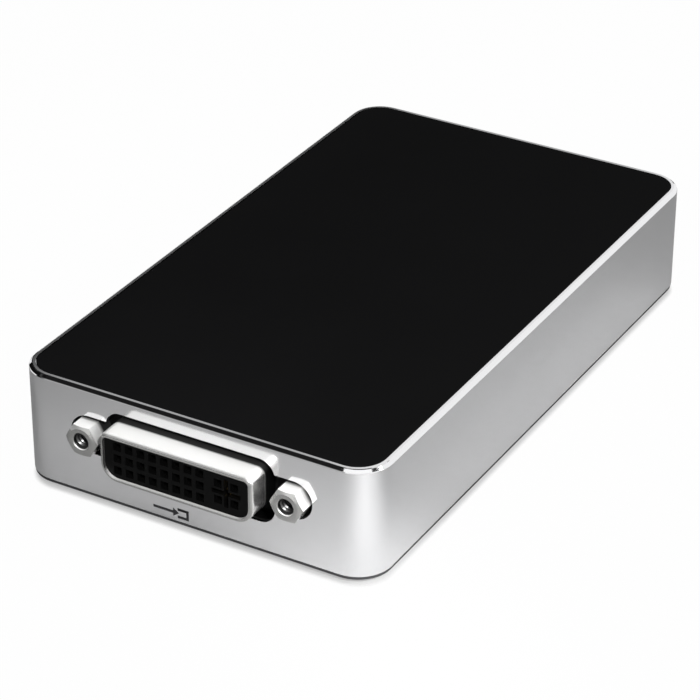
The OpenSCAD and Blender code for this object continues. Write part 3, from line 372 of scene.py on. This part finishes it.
# plain finishes that share one recipe: a colour that clouds into a second one, grain and dents
plainFinishes = {
    "coverBlack": {"nodes": ["bottom_cover"], "colour": (0.020, 0.020, 0.021),
                   "second": (0.030, 0.030, 0.032), "rough": 0.55, "grain": 0.16 * mm,
                   "depth": 0.03 * mm, "strength": 0.35},
    "footRubber": {"nodes": ["rubber_feet"], "colour": (0.018, 0.018, 0.018), "second": (0.03, 0.03, 0.03),
                   "rough": 0.8, "grain": 0.2 * mm, "depth": 0.03 * mm, "strength": 0.4},
    "socketBlack": {"nodes": ["line_in_jack", "headphone_jack"], "colour": (0.008, 0.008, 0.008),
                    "second": (0.013, 0.013, 0.014), "rough": 0.5, "grain": 0.1 * mm, "depth": 0.01 * mm,
                    "strength": 0.2},
    "socketFace": {"nodes": ["dvi_insulator"], "colour": (0.0016, 0.0016, 0.0016),
                   "second": (0.0026, 0.0026, 0.0026), "rough": 0.5, "grain": 0.1 * mm,
                   "depth": 0.01 * mm, "strength": 0.2, "gloss": 0.06},
    "socketBlue": {"nodes": ["usb_insulator"], "colour": (0.012, 0.10, 0.42), "second": (0.018, 0.13, 0.5),
                   "rough": 0.45, "grain": 0.1 * mm, "depth": 0.01 * mm, "strength": 0.2},
    "chipBlack": {"nodes": ["main_chip", "video_receiver", "memory_chips", "usb_chip", "sound_chip",
                            "flash_chip", "regulators", "resistors", "surge_arrays"],
                  "colour": (0.018, 0.018, 0.019), "second": (0.03, 0.03, 0.032), "rough": 0.6,
                  "grain": 0.08 * mm, "depth": 0.02 * mm, "strength": 0.3},
    "ferriteGrey": {"nodes": ["inductors"], "colour": (0.08, 0.08, 0.085), "second": (0.12, 0.12, 0.12),
                    "rough": 0.75, "grain": 0.15 * mm, "depth": 0.03 * mm, "strength": 0.4},
    "padGrey": {"nodes": ["thermal_pad"], "colour": (0.25, 0.28, 0.32), "second": (0.31, 0.34, 0.37),
                "rough": 0.7, "grain": 0.2 * mm, "depth": 0.03 * mm, "strength": 0.3},
    "tapeGrey": {"nodes": ["panel_tape"], "colour": (0.10, 0.10, 0.10), "second": (0.15, 0.15, 0.15),
                 "rough": 0.6, "grain": 0.3 * mm, "depth": 0.02 * mm, "strength": 0.3},
    "filmAmber": {"nodes": ["insulating_sheet"], "colour": (0.45, 0.34, 0.10), "second": (0.52, 0.40, 0.14),
                  "rough": 0.25, "grain": 0.6 * mm, "depth": 0.02 * mm, "strength": 0.2},
    "ceramicTan": {"nodes": ["ceramic_capacitors"], "colour": (0.42, 0.28, 0.15), "second": (0.5, 0.35, 0.2),
                   "rough": 0.5, "grain": 0.1 * mm, "depth": 0.01 * mm, "strength": 0.2},
    "diodeWhite": {"nodes": ["status_led"], "colour": (0.75, 0.74, 0.62), "second": (0.82, 0.81, 0.70),
                   "rough": 0.35, "grain": 0.1 * mm, "depth": 0.01 * mm, "strength": 0.2},
}


def paintPlain(name, finish):
    paint = newPaint(name)
    grain = paint.noise(finish["grain"], 2.0)
    cloud = paint.noise(25 * finish["grain"], 3.0)
    paint.surface(BaseColor=paint.mixColour(cloud, finish["colour"], finish["second"]),
                  Roughness=paint.sway(grain, finish["rough"], 0.05),
                  SpecularIORLevel=finish.get("gloss", 0.3),
                  Normal=paint.bump(grain, finish["strength"], finish["depth"]))
    coat(paint, *finish["nodes"])


# plated and turned metals: fine drawn lines, faint stains in the gloss
metalFinishes = {
    "brightNickel": {"nodes": ["usb_shell", "dvi_shield"], "colour": (0.80, 0.79, 0.77),
                     "rough": 0.13, "stain": 3 * mm},
    "zincSteel": {"nodes": ["board_screws"], "colour": (0.60, 0.60, 0.61), "rough": 0.28, "stain": 1 * mm},
    "darkSteel": {"nodes": ["cover_screws"], "colour": (0.075, 0.075, 0.08), "rough": 0.35,
                  "stain": 0.8 * mm},
    "contactGold": {"nodes": ["dvi_contacts", "usb_contacts", "jack_contacts"],
                    "colour": (0.85, 0.60, 0.22), "rough": 0.2, "stain": 0.8 * mm},
    "turnedBrass": {"nodes": ["thread_inserts"], "colour": (0.72, 0.52, 0.22), "rough": 0.25,
                    "stain": 1 * mm},
    "partCan": {"nodes": ["crystals", "polymer_capacitors"], "colour": (0.70, 0.70, 0.71),
                "rough": 0.3, "stain": 1.5 * mm},
}

# drawn lines of these metals: how wide, how far pulled out along y, how deep
drawnLines = {"width": 0.05 * mm, "pull": (1.0, 0.06, 1.0), "strength": 0.03, "depth": 0.01 * mm}


def paintMetal(name, finish):
    paint = newPaint(name)
    stain = paint.noise(finish["stain"], 4.0, 0.6)
    lines = paint.noise(drawnLines["width"], 2.0, 0.5, paint.stretch(drawnLines["pull"]))
    dull = tuple(0.9 * c for c in finish["colour"])
    paint.surface(BaseColor=paint.mixColour(stain, finish["colour"], dull), Metallic=1.0,
                  Roughness=paint.spread(stain, 0.3, 0.75, finish["rough"] - 0.03, finish["rough"] + 0.05),
                  Normal=paint.bump(lines, drawnLines["strength"], drawnLines["depth"]))
    coat(paint, *finish["nodes"])


# socket collar: satin nickel, with a painted highlight on top, a lip greyed as painted shade, and painted
# shade where it lies behind the window
collarFinish = {"nickel": (0.90, 0.89, 0.88), "dull": (0.84, 0.83, 0.82), "pale": (0.65, 0.65, 0.64),
                "dark": (0.012, 0.012, 0.012), "rough": 0.22, "stain": 2.5 * mm,
                "drawn": 0.06 * mm, "pull": (1.0, 0.05, 1.0), "drawnDepth": 0.01 * mm,
                "lip": (0.42, 0.42, 0.41), "lipFrom": 0.20 * mm, "lipTo": 0.46 * mm, "lipBare": 0.3,
                "darkFrom": 0.5 * mm, "darkTo": 0.1 * mm, "darkRough": 0.4,
                "frost": 0.84, "frostFrom": 0.35, "frostTo": 0.9, "frostRough": 0.42}


def paintCollar():
    paint = newPaint("collarNickel")
    stain = paint.noise(collarFinish["stain"], 4.0, 0.6)
    lines = paint.noise(collarFinish["drawn"], 2.0, 0.5, paint.stretch(collarFinish["pull"]))
    along = paint.axis("Y")
    # painted shade: near black from just in front of the wall's face backwards, where the collar lies in the
    # window
    recess = paint.spread(along, caseLow.y - collarFinish["darkFrom"], caseLow.y - collarFinish["darkTo"])
    # painted shade: the rounded front lip is greyed, darkening its reflection
    lip = paint.spread(along - collarLow.y, collarFinish["lipFrom"], collarFinish["lipTo"], 1.0, 0.0)
    # painted highlight: upward faces turn pale and hardly metallic so that they render white
    upward = paint.spread(paint.facing("Z"), collarFinish["frostFrom"], collarFinish["frostTo"])
    frost = upward * (1 - lip * collarFinish["lipBare"])
    plating = paint.mixColour(stain, collarFinish["nickel"], collarFinish["dull"])
    shade = paint.mixColour(frost, paint.mixColour(lip, plating, collarFinish["lip"]), collarFinish["pale"])
    rough = paint.spread(stain, 0.3, 0.75, collarFinish["rough"] - 0.03, collarFinish["rough"] + 0.04)
    paint.surface(BaseColor=paint.mixColour(recess, shade, collarFinish["dark"]),
                  Metallic=0.95 - frost * collarFinish["frost"],
                  Roughness=(rough * (1 - frost) + frost * collarFinish["frostRough"]
                             + recess * collarFinish["darkRough"]),
                  Normal=paint.bump(lines, 0.02, collarFinish["drawnDepth"]))
    coat(paint, "dvi_shell")


# jack screws: nickel, with a painted highlight on top, turned front faces greyed as painted shade, and
# painted shade in the hole and behind the wall
jackFinish = {"nickel": (0.88, 0.88, 0.87), "dull": (0.80, 0.80, 0.79), "pale": (0.74, 0.74, 0.73),
              "front": (0.44, 0.44, 0.43), "frontDepth": 0.35 * mm, "dark": (0.02, 0.02, 0.02),
              "rough": 0.24, "stain": 1.2 * mm, "turning": 0.06 * mm, "turningDepth": 0.005 * mm,
              "frost": 0.84, "frostFrom": 0.25, "frostTo": 0.7, "frostRough": 0.42, "darkRough": 0.3,
              "darkFrom": 0.1 * mm, "darkTo": 0.6 * mm, "pitchHalf": 16.5 * mm, "holeRadius": 1.22 * mm}
jackHeight = (hexLow.z + hexHigh.z) / 2


def paintJackScrews():
    paint = newPaint("jackNickel")
    along = paint.axis("Y")
    across = abs(paint.axis("X")) - jackFinish["pitchHalf"]
    up = paint.axis("Z") - jackHeight
    radius = (across * across + up * up) ** 0.5
    # painted shade: near black inside the hole and behind the wall
    hole = radius < jackFinish["holeRadius"]
    recess = paint.spread(along, caseLow.y - jackFinish["darkFrom"], caseLow.y + jackFinish["darkTo"])
    # painted shade: the turned front faces are greyed, darkening their reflection
    front = along < hexLow.y + jackFinish["frontDepth"]
    # painted highlight: upward faces turn pale and hardly metallic so that they render white
    frost = paint.spread(paint.facing("Z"), jackFinish["frostFrom"], jackFinish["frostTo"])
    stain = paint.noise(jackFinish["stain"], 4.0, 0.6)
    rings = radius * (2 * math.pi / jackFinish["turning"])
    turned = paint.add("ShaderNodeMath", {"operation": "SINE"}, {0: rings})
    plating = paint.mixColour(stain, jackFinish["nickel"], jackFinish["dull"])
    shade = paint.mixColour(frost, paint.mixColour(front, plating, jackFinish["front"]), jackFinish["pale"])
    dark = 1 - (1 - hole) * (1 - recess)
    rough = paint.spread(stain, 0.3, 0.75, jackFinish["rough"] - 0.03, jackFinish["rough"] + 0.05)
    paint.surface(BaseColor=paint.mixColour(dark, shade, jackFinish["dark"]),
                  Metallic=0.95 - frost * jackFinish["frost"],
                  Roughness=(rough * (1 - frost) + frost * jackFinish["frostRough"]
                             + dark * jackFinish["darkRough"]),
                  Normal=paint.bump(turned * front, 0.06, jackFinish["turningDepth"]))
    coat(paint, "jack_screws")


# board: solder mask with tracks under it
boardFinish = {"mask": (0.008, 0.07, 0.025), "track": (0.02, 0.14, 0.05), "pitch": 1.2 * mm,
               "trackWidth": 0.06, "grain": 0.2 * mm, "grainShare": 0.1, "rough": 0.28, "coat": 0.3,
               "strength": 0.3, "depth": 0.03 * mm}


def paintBoard():
    paint = newPaint("solderMask")
    tracks = paint.cells(boardFinish["pitch"], "DISTANCE_TO_EDGE") < boardFinish["trackWidth"]
    grain = paint.noise(boardFinish["grain"])
    height = tracks + grain * boardFinish["grainShare"]
    paint.surface(BaseColor=paint.mixColour(tracks, boardFinish["mask"], boardFinish["track"]),
                  Roughness=paint.sway(grain, boardFinish["rough"], 0.06), CoatWeight=boardFinish["coat"],
                  Normal=paint.bump(height, boardFinish["strength"], boardFinish["depth"]))
    coat(paint, "main_board")


# light pipe: clear moulding
pipeFinish = {"clear": (0.86, 0.90, 0.92), "pale": (0.92, 0.95, 0.96), "ripple": 0.4 * mm, "rough": 0.09,
              "through": 0.85, "ior": 1.49}


def paintPipe():
    paint = newPaint("clearGuide")
    ripple = paint.noise(pipeFinish["ripple"], 2.0)
    paint.surface(BaseColor=paint.mixColour(ripple, pipeFinish["clear"], pipeFinish["pale"]),
                  Roughness=paint.sway(ripple, pipeFinish["rough"], 0.03),
                  TransmissionWeight=pipeFinish["through"], IOR=pipeFinish["ior"])
    coat(paint, "light_pipe")


paintCase()
paintPanel()
for name, finish in plainFinishes.items():
    paintPlain(name, finish)
for name, finish in metalFinishes.items():
    paintMetal(name, finish)
paintCollar()
paintJackScrews()
paintBoard()
paintPipe()
print("solids painted:", len(nodes))


# pieces that only the picture needs: printed signs and the threads of the jack screws

def addPiece(name, paint, vertices, faces):
    mesh = bpy.data.meshes.new(name)
    mesh.from_pydata(vertices, [], faces)
    shape = bmesh.new()
    shape.from_mesh(mesh)
    bmesh.ops.recalc_face_normals(shape, faces=shape.faces)
    shape.to_mesh(mesh)
    shape.free()
    mesh.materials.append(paint.owner)
    piece = bpy.data.objects.new(name, mesh)
    bpy.context.scene.collection.objects.link(piece)
    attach(piece, "root")


def printSign(name, paint, outlines, centre, face, thickness):
    # outlines in millimetres round the centre, as they read from outside
    # face is -1 at the front and 1 at the rear
    vertices, faces = [], []
    for outline in outlines:
        first, count = len(vertices), len(outline)
        for lift in (0.0, thickness):
            for u, v in outline:
                vertices.append((centre[0] - face * u * mm, centre[1] + face * lift, centre[2] + v * mm))
        faces.append(tuple(range(first, first + count)))
        faces.append(tuple(range(first + count, first + 2 * count)))
        for i in range(count):
            j = (i + 1) % count
            faces.append((first + i, first + j, first + count + j, first + count + i))
    addPiece(name, paint, vertices, faces)


def arrowOutline(start, tip, middle, width, head):
    way = 1 if tip > start else -1
    neck = tip - way * head
    half, wide = width / 2, head * 0.7
    return [(start, middle - half), (neck, middle - half), (neck, middle - wide), (tip, middle),
            (neck, middle + wide), (neck, middle + half), (start, middle + half)]


def frameOutline(left, right, low, high, line):
    # open at its left side, where an arrow goes in
    inner = right - line
    return [(left, low), (right, low), (right, high), (left, high),
            (left, high - line), (inner, high - line), (inner, low + line), (left, low + line)]


def arcOutline(radius, line, fromAngle, toAngle, steps, middle):
    points = []
    for reach, order in ((radius, range(steps + 1)), (radius - line, range(steps, -1, -1))):
        for i in order:
            angle = math.radians(fromAngle + (toAngle - fromAngle) * i / steps)
            points.append((middle[0] + reach * math.cos(angle), middle[1] + reach * math.sin(angle)))
    return points


# ink of the printed signs
inkFinish = {"ink": (0.012, 0.012, 0.013), "thin": (0.03, 0.03, 0.032), "cover": 0.12 * mm, "rough": 0.6,
             "gloss": 0.2, "grainDepth": 0.01 * mm, "thickness": 0.02 * mm}


def makeInk():
    paint = newPaint("printInk")
    cover = paint.noise(inkFinish["cover"], 3.0, 0.6)
    paint.surface(BaseColor=paint.mixColour(cover, inkFinish["ink"], inkFinish["thin"]),
                  Roughness=paint.sway(cover, inkFinish["rough"], 0.06),
                  SpecularIORLevel=inkFinish["gloss"],
                  Normal=paint.bump(cover, 0.1, inkFinish["grainDepth"]))
    return paint


# sign under the front socket: an arrow that goes into a frame
inputSign = {"centre": (-3.25 * mm, 2.82 * mm), "length": 5.8, "height": 1.6, "line": 0.40,
             "head": 0.95, "arms": 1.8}


def makeInputSign(ink):
    half, up, line = inputSign["length"] / 2, inputSign["height"] / 2, inputSign["line"]
    gate = half - inputSign["arms"]
    arrow = arrowOutline(-half, gate + line / 2, 0.0, line, inputSign["head"])
    outlines = [arrow, frameOutline(gate, half, -up, up, line)]
    centre = (inputSign["centre"][0], caseLow.y, inputSign["centre"][1])
    printSign("input_sign", ink, outlines, centre, -1, inkFinish["thickness"])


# signs over the sound sockets: an arrow into a ring, and a headband with two ear cups
soundSigns = {"rise": 5.0 * mm, "line": 0.28, "size": 1.1, "ringFrom": 40, "ringTo": 320,
              "ringMiddle": (0.5, 0.0), "arrowStart": 2.3, "arrowTip": 0.35, "arrowHead": 0.6,
              "bandMiddle": (0.0, 0.02), "cupHalf": 0.3, "cupHeight": 1.0}


def makeSoundSigns(ink):
    line, size = soundSigns["line"], soundSigns["size"]
    middle = (jackLow.z + jackHigh.z) / 2
    place = ((jackLow.x + jackHigh.x) / 2, caseHigh.y, middle + soundSigns["rise"])
    ring = arcOutline(size, line, soundSigns["ringFrom"], soundSigns["ringTo"], 28,
                      soundSigns["ringMiddle"])
    arrow = arrowOutline(soundSigns["arrowStart"], soundSigns["arrowTip"], 0.0, line,
                         soundSigns["arrowHead"])
    printSign("line_sign", ink, [ring, arrow], place, 1, inkFinish["thickness"])
    place = ((phoneLow.x + phoneHigh.x) / 2, caseHigh.y, middle + soundSigns["rise"])
    half, drop = soundSigns["cupHalf"], -soundSigns["cupHeight"]
    cups = [[(x - half, drop), (x + half, drop), (x + half, 0.0), (x - half, 0.0)] for x in (-size, size)]
    band = arcOutline(size + line / 2, line, 0, 180, 24, soundSigns["bandMiddle"])
    printSign("headphone_sign", ink, [band] + cups, place, 1, inkFinish["thickness"])


# thread in each jack screw's hole; rootHalf and crestHalf are shares of the pitch
threadForm = {"pitch": 0.635 * mm, "root": 1.15 * mm, "crest": 0.98 * mm, "from": 0.25 * mm, "turns": 5,
              "steps": 32, "rootHalf": 0.40, "crestHalf": 0.06}
# thread colour: nickel darkened as painted shade deep in the hole
threadFinish = {"nickel": (0.16, 0.16, 0.16), "dull": (0.10, 0.10, 0.10), "stain": 0.4 * mm, "rough": 0.35}


def paintThread():
    paint = newPaint("threadNickelShaded")
    stain = paint.noise(threadFinish["stain"], 3.0, 0.6)
    paint.surface(BaseColor=paint.mixColour(stain, threadFinish["nickel"], threadFinish["dull"]),
                  Metallic=0.9, Roughness=paint.sway(stain, threadFinish["rough"], 0.05))
    return paint


def makeThread(name, middle, paint):
    pitch, steps = threadForm["pitch"], threadForm["steps"]
    count = threadForm["turns"] * steps
    root, crest = threadForm["root"], threadForm["crest"]
    rootHalf, crestHalf = threadForm["rootHalf"], threadForm["crestHalf"]
    profile = [(root, -rootHalf), (crest, -crestHalf), (crest, crestHalf), (root, rootHalf)]
    vertices, faces = [], []
    for i in range(count + 1):
        angle = 2 * math.pi * i / steps
        along = hexLow.y + threadForm["from"] + pitch * (0.5 + i / steps)
        for reach, shift in profile:
            vertices.append((middle + reach * math.cos(angle), along + shift * pitch,
                             jackHeight + reach * math.sin(angle)))
    for i in range(count):
        for j in range(4):
            k = (j + 1) % 4
            faces.append((4 * i + j, 4 * i + k, 4 * i + 4 + k, 4 * i + 4 + j))
    faces.append((0, 1, 2, 3))
    faces.append(tuple(4 * count + j for j in range(4)))
    addPiece(name, paint, vertices, faces)


ink = makeInk()
makeInputSign(ink)
makeSoundSigns(ink)
thread = paintThread()
makeThread("jack_thread_left", -jackFinish["pitchHalf"], thread)
makeThread("jack_thread_right", jackFinish["pitchHalf"], thread)
print("signs and threads added")
